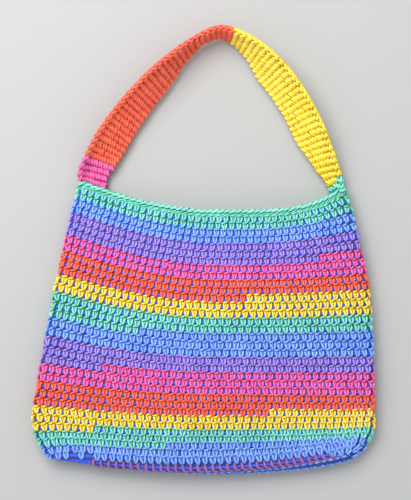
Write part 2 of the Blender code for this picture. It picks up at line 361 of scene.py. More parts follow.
class Fabric:
    """A stretch of fabric as a grid of points, read at any place between them."""

    def __init__(self, rows, columns, points, closed):
        self.rows = rows
        self.columns = columns
        self.points = points
        self.closed = closed
        if closed:
            around = np.roll(points, -1, axis=1) - np.roll(points, 1, axis=1)
        else:
            around = np.gradient(points, axis=1)
        up = np.gradient(points, axis=0)
        self.around = around / np.linalg.norm(around, axis=2)[:, :, None]
        normal = np.cross(up, self.around)
        self.normal = normal / np.linalg.norm(normal, axis=2)[:, :, None]

    def read(self, grid, row, column):
        """Values of a grid at rows and columns given in the fabric's own measures."""
        row = np.interp(row, self.rows, np.arange(len(self.rows)))
        if self.closed:
            column = (np.asarray(column) % 1.0) * len(self.columns)
        else:
            column = np.interp(column, self.columns, np.arange(len(self.columns)))
        row_low = np.clip(np.floor(row).astype(int), 0, len(self.rows) - 2)
        column_low = np.floor(column).astype(int)
        if not self.closed:
            column_low = np.clip(column_low, 0, len(self.columns) - 2)
        row_part = (row - row_low)[..., None]
        column_part = (column - column_low)[..., None]
        here = column_low % len(self.columns)
        there = (column_low + 1) % len(self.columns)
        low = grid[row_low, here] * (1 - column_part) + grid[row_low, there] * column_part
        high = grid[row_low + 1, here] * (1 - column_part) + grid[row_low + 1, there] * column_part
        return low * (1 - row_part) + high * row_part

    def at(self, row, column):
        """Places, directions out of the fabric and directions along its rows."""
        place = self.read(self.points, row, column)
        out = self.read(self.normal, row, column)
        along = self.read(self.around, row, column)
        out = out / np.linalg.norm(out, axis=-1)[..., None]
        along = along - out * np.sum(along * out, axis=-1)[..., None]
        along = along / np.linalg.norm(along, axis=-1)[..., None]
        return place, out, along


def path_lengths(points):
    """Distance gone along a path at each of its points."""
    steps = np.linalg.norm(np.diff(points, axis=0), axis=1)
    return np.concatenate(((0.0,), np.cumsum(steps)))


def read_path(points, gone, distances):
    """Points of a path at distances along it."""
    return np.stack([np.interp(distances, gone, values) for values in points.T], axis=1)


def even_ring(line, count):
    """The same ring with its points at equal steps."""
    closed = np.vstack((line, line[:1]))
    gone = path_lengths(closed)
    return read_path(closed, gone, np.linspace(0, gone[-1], count, endpoint=False))


def body_fabric():
    """The body's wall. Its rows are distances from the foundation, and its columns are shares of
    a turn from the middle of the front, towards the left."""
    distances = np.linspace(BODY_START, BODY_LENGTH + BODY_BEYOND, BODY_ROWS)
    rings = np.stack([even_ring(ring_line(distance), BODY_COLUMNS) for distance in distances])
    rings[:, :, 1] += BASE_PLACE
    return Fabric(distances, np.arange(BODY_COLUMNS) / BODY_COLUMNS, rings, True)


def mouth_points(side, across):
    """Middle of the rim's wall at distances across the strap: below 0 inboard along the back,
    above 0 around the side fold towards the front."""
    middle, half_width = round_width(BODY_LENGTH)
    reach = half_width - FOLD_RADIUS
    inboard = np.minimum(across, 0.0)
    turn = np.maximum(across, 0.0) / FOLD_RADIUS
    place = side * (reach + inboard) / reach
    height, level = round_point(BODY_LENGTH, place, -1)
    height = np.where(across < 0, height, end_height(BODY_LENGTH, side))
    level = np.where(across < 0, level, FOLD_HEIGHT - FOLD_RADIUS * np.cos(turn))
    out = middle + reach * place + side * FOLD_RADIUS * np.sin(turn)
    return np.stack((out, height, level), axis=1)


def heading(angle):
    """Level direction at an angle."""
    return np.array((math.cos(angle), math.sin(angle), 0.0))


def strap_spine():
    """Curve in plan where the strap's flat part meets its lip."""
    left, right = (mouth_points(side, np.array((0.0,)))[0, :2] for side in (-1, 1))
    apex = (left + right) / 2 + np.array((STRAP_APEX_SHIFT, STRAP_REACH))
    left_way = heading(LEFT_ROOT_ANGLE)[:2]
    right_way = heading(RIGHT_ROOT_ANGLE)[:2]
    level = np.array((1.0, 0.0))
    first = (left, left + left_way * LEFT_ROOT_PULL, apex - level * LEFT_APEX_PULL, apex)
    second = (apex, apex + level * RIGHT_APEX_PULL, right + right_way * RIGHT_ROOT_PULL, right)
    share = np.linspace(0, 1, SPINE_STEPS, endpoint=False)[:, None]
    rest = 1 - share
    weights = (rest ** 3, 3 * rest ** 2 * share, 3 * rest * share ** 2, share ** 3)
    halves = [sum(w * corner for w, corner in zip(weights, segment)) for segment in (first, second)]
    return np.concatenate((*halves, [right]))


def strap_fabric():
    """The strap. Its rows are distances from the left root and its columns run from 0 at the end
    of its lip to 1 at its inner edge."""
    spine = strap_spine()
    travelled = path_lengths(spine)
    length = travelled[-1]
    start = RIM_ROUNDING + SEAM_GAP
    distances = np.linspace(start, length - start, STRAP_ROWS)
    shares = np.linspace(0, 1, STRAP_COLUMNS)
    flat_places = np.linspace(-1, 0, FLAT_STEPS)
    turns = np.linspace(0, 1, CURL_STEPS)[1:]
    up = np.array((0.0, 0.0, 1.0))
    sections = []
    for distance in distances:
        near = np.array((distance - SLOPE_STEP, distance, distance + SLOPE_STEP))
        behind, place, ahead = read_path(spine, travelled, near)
        along = (ahead - behind) / np.linalg.norm(ahead - behind)
        share = distance / length
        lean = math.radians(np.interp(share, STRAP_STATIONS, LEAN_DEGREES))
        curl = math.radians(np.interp(share, STRAP_STATIONS, CURL_DEGREES)) * turns[:, None]
        width = STRAP_FLAT * np.interp(share, STRAP_STATIONS, FLAT_SHARES)
        outward = np.array((-along[1], along[0], 0.0))
        slope = outward * math.cos(lean) + up * math.sin(lean)
        face = up * math.cos(lean) - outward * math.sin(lean)
        middle = np.array((*place, STRAP_THICKNESS / 2 + width * math.sin(lean)))
        section = middle + np.concatenate((
            slope * (width * flat_places)[:, None],
            FOLD_RADIUS * (slope * np.sin(curl) + face * (1 - np.cos(curl))),
        ))
        for root, side, angle, gone in ((0, -1, LEFT_ROOT_ANGLE, distance),
                                        (-1, 1, RIGHT_ROOT_ANGLE, length - distance)):
            if gone < STRAP_ROOT_LENGTH:
                blend = 0.5 + 0.5 * math.cos(math.pi * (gone - start) / STRAP_ROOT_LENGTH)
                root_turn = math.radians(CURL_DEGREES[root]) * FOLD_RADIUS
                across = np.concatenate((STRAP_FLAT * FLAT_SHARES[root] * flat_places,
                                         root_turn * turns))
                rooted = mouth_points(side, across) + heading(angle) * gone
                section = section * (1 - blend) + rooted * blend
        section[:, 1] += BASE_PLACE
        gone = path_lengths(section)
        sections.append(read_path(section, gone, shares * gone[-1])[::-1])
    return Fabric(distances, shares, np.array(sections), False)


def spiral_distance(turns):
    """How far up the fabric the spiral of rounds lies after some turns."""
    return np.interp(turns, SPIRAL_TURNS, SPIRAL_CLIMB)


def spiral_turns(distance, phase):
    """Turns of the spiral that pass nearest to a place on the body."""
    turns = np.interp(distance, SPIRAL_CLIMB[1:], SPIRAL_TURNS[1:])
    return np.clip(np.round(turns - phase) + phase, 0, SPIRAL_TURNS[-1])


def colour_at(turns):
    """Name of the yarn's colour after some turns."""
    starts = [start for start, name in COLOUR_TURNS]
    return COLOUR_TURNS[max(int(np.searchsorted(starts, turns, side="right")) - 1, 0)][1]


BASE_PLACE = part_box("bag_body")[0].y + WALL / 2
BODY = body_fabric()
STRAP = strap_fabric()


# Yarn

# A direction that no length of yarn starts along
START_SIDE = (0.31, 0.22, 0.92)


def add_strand(bm, layer, crest, points, radius, sides, crest_range):
    """Add a closed length of yarn through points given in millimetres. Its UV map runs along it
    in millimetres and once around it, and its crest goes from 0 to 1 over a range of heights."""
    crest_low, crest_high = crest_range
    path = np.array(points, dtype=float)
    ahead = np.gradient(path, axis=0)
    ahead /= np.linalg.norm(ahead, axis=1)[:, None]
    gone = path_lengths(path)
    side = np.cross(ahead[0], START_SIDE)
    rings = []
    for place, way in zip(path, ahead):
        side = side - way * side.dot(way)
        side /= np.linalg.norm(side)
        other = np.cross(way, side)
        ring = []
        for corner in range(sides):
            turn = 2 * math.pi * corner / sides
            spoke = side * math.cos(turn) + other * math.sin(turn)
            corner_place = place + spoke * radius
            made = bm.verts.new(corner_place * MM)
            # The crest sets where the dye gets its painted highlight and its painted shade
            rise = (abs(corner_place[2]) - crest_low) / (crest_high - crest_low)
            made[crest] = min(max(rise, 0), 1)
            ring.append(made)
        rings.append(ring)
    for step in range(len(rings) - 1):
        for corner in range(sides):
            following = (corner + 1) % sides
            face = bm.faces.new((rings[step][corner], rings[step][following],
                                 rings[step + 1][following], rings[step + 1][corner]))
            shares = (corner / sides, (corner + 1) / sides, (corner + 1) / sides, corner / sides)
            lengths = (gone[step], gone[step], gone[step + 1], gone[step + 1])
            for loop, share, length in zip(face.loops, shares, lengths):
                loop[layer].uv = (length, share)
    bm.faces.new(rings[0][::-1])
    bm.faces.new(rings[-1])


def yarn_shape(name, strands, crest_range):
    """A stitch as an object outside the scene, from its lengths of yarn."""
    bm = bmesh.new()
    layer = bm.loops.layers.uv.new("Strand")
    crest = bm.verts.layers.float.new("crest")
    for points, radius, sides in strands:
        add_strand(bm, layer, crest, points, radius, sides, crest_range)
    mesh = bpy.data.meshes.new(name)
    bm.to_mesh(mesh)
    bm.free()
    mesh.shade_smooth()
    return bpy.data.objects.new(name, mesh)


def mirrored(points):
    """A path followed by its own mirror image back up the other side."""
    return points + [(-x, y, z) for x, y, z in points[-2::-1]]


# Heights off the middle of the fabric, in millimetres, between which the yarn goes from sunk to
# fully on its crest; the crest carries the yarn's painted highlight, and sunk yarn gets painted
# shade
BODY_CREST = (0.7, 2.4)
STRAP_CREST = (0.5, 2.6)

# A single crochet over the cord: two legs that spread from a tip pushed through the row below,
# the yarn between them, the loop on top between the tips of the next row, and the bar inside
BODY_STITCH = (
    (mirrored([(-1.7, 2.4, 0.1), (-1.6, 1.6, 1.5), (-1.15, -0.2, 2.0), (-0.72, -1.6, 1.7),
               (0.0, -2.3, 0.6)]), 0.86, 5),
    ([(0.0, 2.7, 0.7), (0.0, 0.9, 0.75), (0.0, -1.5, 0.6)], 0.75, 4),
    ([(-2.7, 3.2, 0.0), (-1.5, 3.35, 1.3), (0.1, 3.7, 1.6), (1.5, 4.2, 0.6)], 0.86, 5),
    ([(-2.7, 0.1, -1.2), (0.0, 0.6, -1.8), (2.7, 0.1, -1.2)], 0.8, 4),
)

# A foundation stitch: one stout post with a foot to its lower right
FOUNDATION_STITCH = (
    ([(-0.5, 3.4, -0.5), (-0.6, 2.3, 1.2), (-0.5, 0.0, 1.8), (0.0, -2.1, 1.6),
      (1.4, -3.1, 1.1), (3.6, -3.3, 0.4)], 1.0, 5),
    ([(-0.9, 2.2, 0.2), (-1.1, 0.2, 1.1), (-1.2, -2.0, 0.8), (-0.2, -3.2, 0.1)], 0.75, 4),
)

# A loop of yarn on the far side of the foundation, seen below its posts
UNDER_STITCH = (
    ([(-2.4, 0.6, 0.2), (-1.2, -0.5, 1.1), (0.4, -0.7, 1.2), (1.6, 0.5, 0.3)], 0.9, 5),
    ([(-0.6, 1.4, 0.0), (0.2, 0.4, 0.9), (1.4, -0.6, 0.6), (2.6, -0.4, -0.2)], 0.8, 4),
)

# A slip stitch of the rim's edging: a bright slanting strand along the top, a recessed band
# under it and the same rolled over to the inside
RIM_STITCH = (
    ([(-3.1, 1.0, 1.0), (-1.1, 1.4, 2.0), (1.0, 2.2, 1.8), (3.0, 2.8, 0.5)], 1.12, 5),
    ([(-2.9, -1.5, 0.4), (-1.0, -1.0, 1.15), (1.0, -0.3, 1.15), (2.9, 0.4, 0.6)], 0.9, 4),
    ([(-2.8, -2.6, 0.5), (-0.9, -2.4, 0.95), (1.0, -1.9, 0.95), (2.9, -1.5, 0.3)], 0.8, 4),
    ([(-3.0, 2.6, 0.2), (-1.0, 2.3, -1.0), (1.0, 1.6, -1.7), (3.0, 0.9, -1.4)], 1.08, 4),
    ([(-2.8, 0.0, -1.5), (-1.0, -0.6, -1.9), (1.0, -1.5, -1.9), (2.8, -2.1, -1.5)], 0.98, 4),
)

# A stitch of the strap's ribs: two short fat loops that slant across the ridge on each face,
# with small holes in the thin groove between one rib and the next
STRAP_STITCH = (
    ([(-2.5, 2.1, 0.8), (-1.7, 1.0, 1.75), (-0.9, -0.5, 1.85), (-0.3, -1.9, 1.0)], 1.15, 5),
    ([(-0.3, 2.0, 1.0), (0.6, 0.9, 1.85), (1.4, -0.5, 1.75), (2.0, -2.0, 0.8)], 1.15, 5),
    ([(-2.4, -1.6, 0.7), (-0.8, -1.9, 1.1), (0.8, -1.8, 1.1), (2.4, -1.5, 0.7)], 1.0, 4),
    ([(2.5, 1.8, -0.6), (1.5, 0.6, -1.5), (0.6, -0.7, -1.5), (0.1, -1.8, -0.7)], 1.2, 4),
    ([(0.2, 1.8, -0.7), (-0.7, 0.6, -1.5), (-1.5, -0.7, -1.5), (-2.2, -1.9, -0.6)], 1.2, 4),
)

# A link of the smooth chain along the strap's edges
STRAP_EDGE_STITCH = (
    ([(-1.3, -3.3, 0.9), (-0.7, -1.3, 1.5), (0.3, 0.8, 1.5), (0.9, 3.0, 0.9)], 1.1, 5),
    ([(0.9, -3.3, 0.8), (1.2, -1.4, 1.2), (0.6, 0.9, 1.0), (-0.5, 2.9, 0.5)], 1.0, 4),
)


# Node trees


def link_nodes(tree, pairs):
    """Join sockets given as (node, output name, node, input name)."""
    for source, output, target, entry in pairs:
        tree.links.new(source.outputs[output], target.inputs[entry])


def new_node(tree, kind, values=(), **settings):
    """A node with its settings and the values on its sockets."""
    node = tree.nodes.new(kind)
    for name, value in settings.items():
        setattr(node, name, value)
    for entry, value in values:
        node.inputs[entry].default_value = value
    return node


def laying_tree():
    """Geometry Nodes that lay one stitch on every point, turned and scaled by its attributes."""
    tree = bpy.data.node_groups.new("Lay Stitches", "GeometryNodeTree")
    for label, kind in (("Places", "Geometry"), ("Stitch", "Object"), ("Yarn", "Material"),
                        ("Turn Unevenness", "Float"), ("Size Unevenness", "Float"),
                        ("Seed", "Int")):
        tree.interface.new_socket(label, in_out="INPUT", socket_type="NodeSocket" + kind)
    tree.interface.new_socket("Crochet", in_out="OUTPUT", socket_type="NodeSocketGeometry")
    entry = new_node(tree, "NodeGroupInput")
    leave = new_node(tree, "NodeGroupOutput")
    shape = new_node(tree, "GeometryNodeObjectInfo")
    outward, across, own_size, slant = (
        new_node(tree, "GeometryNodeInputNamedAttribute", (("Name", label),),
                 data_type="FLOAT_VECTOR") for label in SPOT_ATTRIBUTES)
    facing = new_node(tree, "FunctionNodeAxesToRotation", primary_axis="Z", secondary_axis="X")
    spread = new_node(tree, "ShaderNodeMath", ((1, -1),), operation="MULTIPLY")
    turn = new_node(tree, "FunctionNodeRandomValue", data_type="FLOAT_VECTOR")
    whole_turn = new_node(tree, "ShaderNodeVectorMath", operation="ADD")
    as_rotation = new_node(tree, "FunctionNodeEulerToRotation")
    rotate = new_node(tree, "FunctionNodeRotateRotation", rotation_space="LOCAL")
    smallest = new_node(tree, "ShaderNodeMath", ((0, 1),), operation="SUBTRACT")
    largest = new_node(tree, "ShaderNodeMath", ((0, 1),), operation="ADD")
    growth = new_node(tree, "FunctionNodeRandomValue", data_type="FLOAT_VECTOR")
    size = new_node(tree, "ShaderNodeVectorMath", operation="MULTIPLY")
    lay = new_node(tree, "GeometryNodeInstanceOnPoints")
    tone = new_node(tree, "FunctionNodeRandomValue", data_type="FLOAT")
    keep = new_node(tree, "GeometryNodeStoreNamedAttribute", (("Name", "tone"),),
                    data_type="FLOAT", domain="INSTANCE")
    realize = new_node(tree, "GeometryNodeRealizeInstances")
    dress = new_node(tree, "GeometryNodeSetMaterial")
    link_nodes(tree, (
        (entry, "Stitch", shape, "Object"),
        (outward, "Attribute", facing, "Primary Axis"),
        (across, "Attribute", facing, "Secondary Axis"),
        (entry, "Turn Unevenness", spread, 0),
        (spread, 0, turn, "Min"),
        (entry, "Turn Unevenness", turn, "Max"),
        (entry, "Seed", turn, "Seed"),
        (turn, "Value", whole_turn, 0),
        (slant, "Attribute", whole_turn, 1),
        (whole_turn, 0, as_rotation, "Euler"),
        (facing, "Rotation", rotate, "Rotation"),
        (as_rotation, "Rotation", rotate, "Rotate By"),
        (entry, "Size Unevenness", smallest, 1),
        (entry, "Size Unevenness", largest, 1),
        (smallest, 0, growth, "Min"),
        (largest, 0, growth, "Max"),
        (entry, "Seed", growth, "Seed"),
        (growth, "Value", size, 0),
        (own_size, "Attribute", size, 1),
        (entry, "Places", lay, "Points"),
        (shape, "Geometry", lay, "Instance"),
        (rotate, "Rotation", lay, "Rotation"),
        (size, 0, lay, "Scale"),
        (lay, "Instances", keep, "Geometry"),
        (entry, "Seed", tone, "Seed"),
        (tone, 1, keep, "Value"),
        (keep, "Geometry", realize, "Geometry"),
        (realize, "Geometry", dress, "Geometry"),
        (entry, "Yarn", dress, "Material"),
        (dress, "Geometry", leave, "Crochet"),
    ))
    return tree


def named_group(name, entries, outputs):
    """An empty shader group with named inputs and outputs, and its two end nodes."""
    tree = bpy.data.node_groups.new(name, "ShaderNodeTree")
    for label, kind, *value in entries:
        socket = tree.interface.new_socket(label, in_out="INPUT", socket_type="NodeSocket" + kind)
        if value:
            socket.default_value = value[0]
    for label, kind in outputs:
        tree.interface.new_socket(label, in_out="OUTPUT", socket_type="NodeSocket" + kind)
    return tree, tree.nodes.new("NodeGroupInput"), tree.nodes.new("NodeGroupOutput")


def math_node(tree, operation, first, second=None, clamp=False):
    """A math node fed by sockets or numbers; gives its result socket."""
    node = new_node(tree, "ShaderNodeMath", operation=operation, use_clamp=clamp)
    for index, value in enumerate((first, second)):
        if isinstance(value, (int, float)):
            node.inputs[index].default_value = value
        elif value is not None:
            tree.links.new(value, node.inputs[index])
    return node.outputs[0]


def scaled_sum(tree, base, value, share):
    """The sum of a base and a share of a value."""
    return math_node(tree, "ADD", base, math_node(tree, "MULTIPLY", value, share))


def twist_group():
    """Plies of a yarn, wound around it along its UV map."""
    tree, entry, leave = named_group(
        "Yarn Twist",
        (("Along", "Float"), ("Around", "Float"), ("Plies", "Float", 3.0), ("Lay", "Float", 3.2)),
        (("Ply", "Float"),),
    )
    wound = math_node(tree, "DIVIDE", entry.outputs["Along"], entry.outputs["Lay"])
    sides = math_node(tree, "MULTIPLY", entry.outputs["Around"], entry.outputs["Plies"])
    angle = math_node(tree, "MULTIPLY", math_node(tree, "ADD", wound, sides), 2 * math.pi)
    wave = math_node(tree, "SINE", angle)
    ply = math_node(tree, "MULTIPLY", math_node(tree, "ADD", wave, 1.0), 0.5)
    tree.links.new(ply, leave.inputs["Ply"])
    return tree


def fibre_group():
    """Fine fibres and slow unevenness of spun cotton, on the object's own coordinates."""
    tree, entry, leave = named_group(
        "Cotton Fibre",
        (("Position", "Vector"), ("Fineness", "Float", 1400.0)),
        (("Fibre", "Float"), ("Cloud", "Float")),
    )
    fine = new_node(tree, "ShaderNodeTexNoise", (("Detail", 3),))
    slow = new_node(tree, "ShaderNodeTexNoise", (("Scale", 60), ("Detail", 2)))
    link_nodes(tree, (
        (entry, "Position", fine, "Vector"),
        (entry, "Fineness", fine, "Scale"),
        (entry, "Position", slow, "Vector"),
        (fine, "Fac", leave, "Fibre"),
        (slow, "Fac", leave, "Cloud"),
    ))
    return tree


# The dye and its painted light: how much of its unevenness comes by the stitch and how much by the
# cloud, how strong the painted highlight is on the crests, and how much painted shade there is
# between the plies and down in the fabric
TONE_SHARE = 0.45
CLOUD_SHARE = 0.55
HIGHLIGHT_LEAST = 0.55
HIGHLIGHT_SPREAD = 0.7
RIDGE_LEAST = 0.7
PLY_SHADE_MOST = 0.4
SUNK_SHADE_MOST = 0.22

# The yarn's surface: relief of the plies and fibres, roughness, and brightness of its painted shade
# colour
PLY_RELIEF = 0.8
FIBRE_RELIEF = 0.35
LEAST_ROUGH = 0.4
ROUGH_SPREAD = 0.25
DEEP_PAINTED_SHADE = 0.5

# Sockets of a mix node that mixes colours
MIX_FIRST = 6
MIX_SECOND = 7
MIX_RESULT = 2


def dye_and_light_group():
    """Colour of dyed yarn with painted light: a painted highlight where it stands out, painted
    shade between the plies and down in the fabric, both varying at random from stitch to stitch."""
    tree, entry, leave = named_group(
        "Yarn Dye",
        (("Deep", "Color"), ("Main", "Color"), ("Pale", "Color"), ("Ply", "Float"),
         ("Tone", "Float"), ("Cloud", "Float"), ("Crest", "Float")),
        (("Colour", "Color"),),
    )
    tone, cloud, crest, ply = (entry.outputs[name] for name in ("Tone", "Cloud", "Crest", "Ply"))
    uneven = scaled_sum(tree, math_node(tree, "MULTIPLY", tone, TONE_SHARE), cloud, CLOUD_SHARE)
    # Painted highlight: the pale colour mixed in on the crests, most on the ridges of the plies
    crest_highlight = math_node(tree, "MULTIPLY", crest,
                       scaled_sum(tree, HIGHLIGHT_LEAST, uneven, HIGHLIGHT_SPREAD))
    ridge = scaled_sum(tree, RIDGE_LEAST, ply, 1 - RIDGE_LEAST)
    highlight_share = math_node(tree, "MULTIPLY", crest_highlight, ridge, clamp=True)
    # Painted shade in the grooves between the plies and on yarn sunk down in the fabric, mixed
    # towards the deep colour
    ply_shade = math_node(tree, "SUBTRACT", PLY_SHADE_MOST,
                        math_node(tree, "MULTIPLY", uneven, PLY_SHADE_MOST))
    wound = math_node(tree, "MULTIPLY", math_node(tree, "SUBTRACT", 1.0, ply), ply_shade)
    sunk_shade = math_node(tree, "MULTIPLY", math_node(tree, "SUBTRACT", 1.0, crest), SUNK_SHADE_MOST)
    shade_share = math_node(tree, "ADD", wound, sunk_shade, clamp=True)
    lighten = new_node(tree, "ShaderNodeMix", data_type="RGBA")
    darken = new_node(tree, "ShaderNodeMix", data_type="RGBA")
    tree.links.new(highlight_share, lighten.inputs["Factor"])
    tree.links.new(shade_share, darken.inputs["Factor"])
    link_nodes(tree, (
        (entry, "Main", lighten, MIX_FIRST),
        (entry, "Pale", lighten, MIX_SECOND),
        (lighten, MIX_RESULT, darken, MIX_FIRST),
        (entry, "Deep", darken, MIX_SECOND),
        (darken, MIX_RESULT, leave, "Colour"),
    ))
    return tree


def shared_tree(name, maker):
    """A node tree that is built once and used by every piece."""
    return bpy.data.node_groups.get(name) or maker()


def place_group(tree, name, maker, values=()):
    """A node in a material's tree for a group that the materials share."""
    group = shared_tree(name, maker)
    return new_node(tree, "ShaderNodeGroup", values, node_tree=group)


def shade(colour, share):
    """A colour with its brightness multiplied."""
    return tuple(min(channel * share, 1.0) for channel in colour)


def new_material(name, values):
    """A material with values on its shader's sockets, its node tree and its shader."""
    material = bpy.data.materials.new(name)
    material.use_nodes = True
    shader = material.node_tree.nodes["Principled BSDF"]
    for entry, value in values:
        shader.inputs[entry].default_value = value
    return material, material.node_tree, shader


def yarn_material(name, colour, highlight):
    """Plied cotton in one dye. The UV map runs along the yarn in millimetres and around it."""
    material, tree, shader = new_material(name, (
        ("Sheen Weight", 0.15), ("Sheen Roughness", 0.4), ("Specular IOR Level", 0.45)))
    place = new_node(tree, "ShaderNodeTexCoord")
    strand = new_node(tree, "ShaderNodeUVMap", uv_map="Strand")
    split = new_node(tree, "ShaderNodeSeparateXYZ")
    tone = new_node(tree, "ShaderNodeAttribute", attribute_name="tone")
    crest = new_node(tree, "ShaderNodeAttribute", attribute_name="crest")
    twist = place_group(tree, "Yarn Twist", twist_group)
    fibre = place_group(tree, "Cotton Fibre", fibre_group)
    # The dye's main colour, a pale colour for the painted highlight and a darker colour for the
    # painted shade
    dye = place_group(tree, "Yarn Dye", dye_and_light_group, (
        ("Deep", (*shade(colour, DEEP_PAINTED_SHADE), 1)), ("Main", (*colour, 1)), ("Pale", (*highlight, 1))))
    plies = math_node(tree, "MULTIPLY", twist.outputs["Ply"], PLY_RELIEF)
    height = scaled_sum(tree, plies, fibre.outputs["Fibre"], FIBRE_RELIEF)
    bump = new_node(tree, "ShaderNodeBump", (("Strength", 0.55), ("Distance", 0.0003)))
    tree.links.new(height, bump.inputs["Height"])
    rough = scaled_sum(tree, LEAST_ROUGH, fibre.outputs["Fibre"], ROUGH_SPREAD)
    tree.links.new(rough, shader.inputs["Roughness"])
    link_nodes(tree, (
        (strand, "UV", split, "Vector"),
        (split, "X", twist, "Along"),
        (split, "Y", twist, "Around"),
        (place, "Object", fibre, "Position"),
        (twist, "Ply", dye, "Ply"),
        (tone, "Fac", dye, "Tone"),
        (crest, "Fac", dye, "Crest"),
        (fibre, "Cloud", dye, "Cloud"),
        (dye, "Colour", shader, "Base Color"),
        (bump, "Normal", shader, "Normal"),
    ))
    return material


def backing_material(name):
    """Yarn deep in the fabric, seen only between the stitches, in the colours of its rows; the yarn
    is there, and its darkening is painted shade for the holes.
    """
    material, tree, shader = new_material(name, (("Roughness", 0.9),))
    colour = new_node(tree, "ShaderNodeAttribute", attribute_name="yarn_colour")
    place = new_node(tree, "ShaderNodeTexCoord")
    fibre = place_group(tree, "Cotton Fibre", fibre_group)
    mottle = new_node(tree, "ShaderNodeMix", data_type="RGBA", blend_type="MULTIPLY")
    mottle.inputs["Factor"].default_value = 0.6
    bump = new_node(tree, "ShaderNodeBump", (("Strength", 0.5), ("Distance", 0.0004)))
    link_nodes(tree, (
        (colour, "Color", mottle, MIX_FIRST),
        (fibre, "Cloud", mottle, MIX_SECOND),
        (mottle, MIX_RESULT, shader, "Base Color"),
        (place, "Object", fibre, "Position"),
        (fibre, "Fibre", bump, "Height"),
        (bump, "Normal", shader, "Normal"),
    ))
    return material


# Laying stitches

# Attributes of a spot that a stitch is laid on, besides its place
SPOT_ATTRIBUTES = ("outward", "across", "size", "slant")


def new_mesh(name, corners, faces=()):
    """A mesh of corners and faces."""
    mesh = bpy.data.meshes.new(name)
    mesh.from_pydata(corners.reshape(-1, 3).tolist(), [], faces)
    return mesh


def add_object(name, data, place=(0, 0, 0)):
    """Put an object in the scene."""
    made = bpy.data.objects.new(name, data)
    made.location = place
    bpy.context.scene.collection.objects.link(made)
    return made


def add_piece(mesh, name, nodes, slot):
    """Put a finished mesh in the scene as a piece of the bag."""
    made = add_object(name, mesh)
    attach(made, "root")
    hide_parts(*nodes)


def lay_stitches(name, stitch, colour_name, spots, seed, part):
    """Lay a stitch on spots (place, outward, across, size, slant) and keep the plain mesh."""
    gauge = bpy.context.scene.bag_gauge
    places, *attributes = (np.asarray(values, dtype=np.float32) for values in spots)
    holder = new_mesh(name + "_places", places)
    for label, values in zip(SPOT_ATTRIBUTES, attributes):
        layer = holder.attributes.new(label, "FLOAT_VECTOR", "POINT")
        layer.data.foreach_set("vector", values.ravel())
    carrier = add_object(name + "_places", holder)
    tree = shared_tree("Lay Stitches", laying_tree)
    modifier = carrier.modifiers.new("Lay Stitches", "NODES")
    modifier.node_group = tree
    values = {"Stitch": stitch, "Yarn": yarn(colour_name), "Seed": gauge.seed + seed,
              "Turn Unevenness": gauge.turn_unevenness, "Size Unevenness": gauge.size_unevenness}
    for socket in tree.interface.items_tree:
        if socket.item_type == "SOCKET" and socket.name in values:
            modifier[socket.identifier] = values[socket.name]
    depsgraph = bpy.context.evaluated_depsgraph_get()
    mesh = bpy.data.meshes.new_from_object(carrier.evaluated_get(depsgraph),
                                           preserve_all_data_layers=True, depsgraph=depsgraph)
    bpy.data.objects.remove(carrier, do_unlink=True)
    mesh.name = name
    if not len(mesh.polygons):
        raise RuntimeError(name + " has no stitches")
    add_piece(mesh, name, *part)


def lay_colours(label, shape, names, colours, spots, seed, part):
    """Lay stitches as one piece for each colour of the yarn."""
    names = np.array(names)
    for number, name in enumerate(colours):
        chosen = [values[names == name] for values in spots]
        lay_stitches(label + name, shape, name, chosen, seed + number, part)


def stitch_width(distance, gauge):
    """Width of a stitch, which the rounds narrow from the base to the rim."""
    share = np.clip(distance / BODY_LENGTH, 0, 1)
    return gauge.base_width + (gauge.rim_width - gauge.base_width) * share


def ring_length(distance):
    """Length of a round at a distance up the body."""
    phases = np.arange(RING_STEPS + 1) / RING_STEPS
    return path_lengths(BODY.read(BODY.points, np.full_like(phases, distance), phases))[-1]


def body_spots(gauge):
    """Turns and widths of every stitch of the body, each round a little further on than the one
    below it."""
    turns = []
    widths = []
    for number in range(ROUNDS):
        middle = float(spiral_distance(number + FRONT_MIDDLE))
        length = ring_length(middle)
        count = round(length / stitch_width(middle, gauge))
        offset = ROUND_SHIFT * number
        phases = (FRONT_MIDDLE + (np.arange(count) + offset) / count) % 1.0
        turns.append(number + phases)
        widths.append(np.full(count, length / count))
    turns = np.concatenate(turns)
    widths = np.concatenate(widths)
    worked = (turns < CORNER_END) | (turns > FOUNDATION_END + FOUNDATION_REST)
    for gap in WIDE_GAPS:
        worked[np.argmin(np.abs(turns - gap))] = False
    return turns[worked], widths[worked]


def wall_spots(turns, distances, width, height=1.0, slant=0.0, drawn=STITCH_MM):
    """Spots on the body for stitches at turns of the spiral, with the width in millimetres that
    the stitch was drawn for."""
    place, outward, around = BODY.at(distances, turns - FRONT_MIDDLE)
    size = np.ones((len(turns), 3))
    size[:, 0] = width / (drawn * MM)
    size[:, 1] = height
    turn = np.zeros((len(turns), 3))
    turn[:, 2] = slant
    return place, outward, -around, size, turn


def band_faces(rows, columns):
    """Faces between rows of corners that each run right around."""
    faces = []
    for row in range(rows - 1):
        for column in range(columns):
            after = (column + 1) % columns
            faces.append((row * columns + column, row * columns + after,
                          (row + 1) * columns + after, (row + 1) * columns + column))
    return faces


def finish_mesh(mesh):
    """Turn a mesh's faces outwards and smooth them."""
    bm = bmesh.new()
    bm.from_mesh(mesh)
    bmesh.ops.recalc_face_normals(bm, faces=bm.faces[:])
    bm.to_mesh(mesh)
    bm.free()
    mesh.shade_smooth()


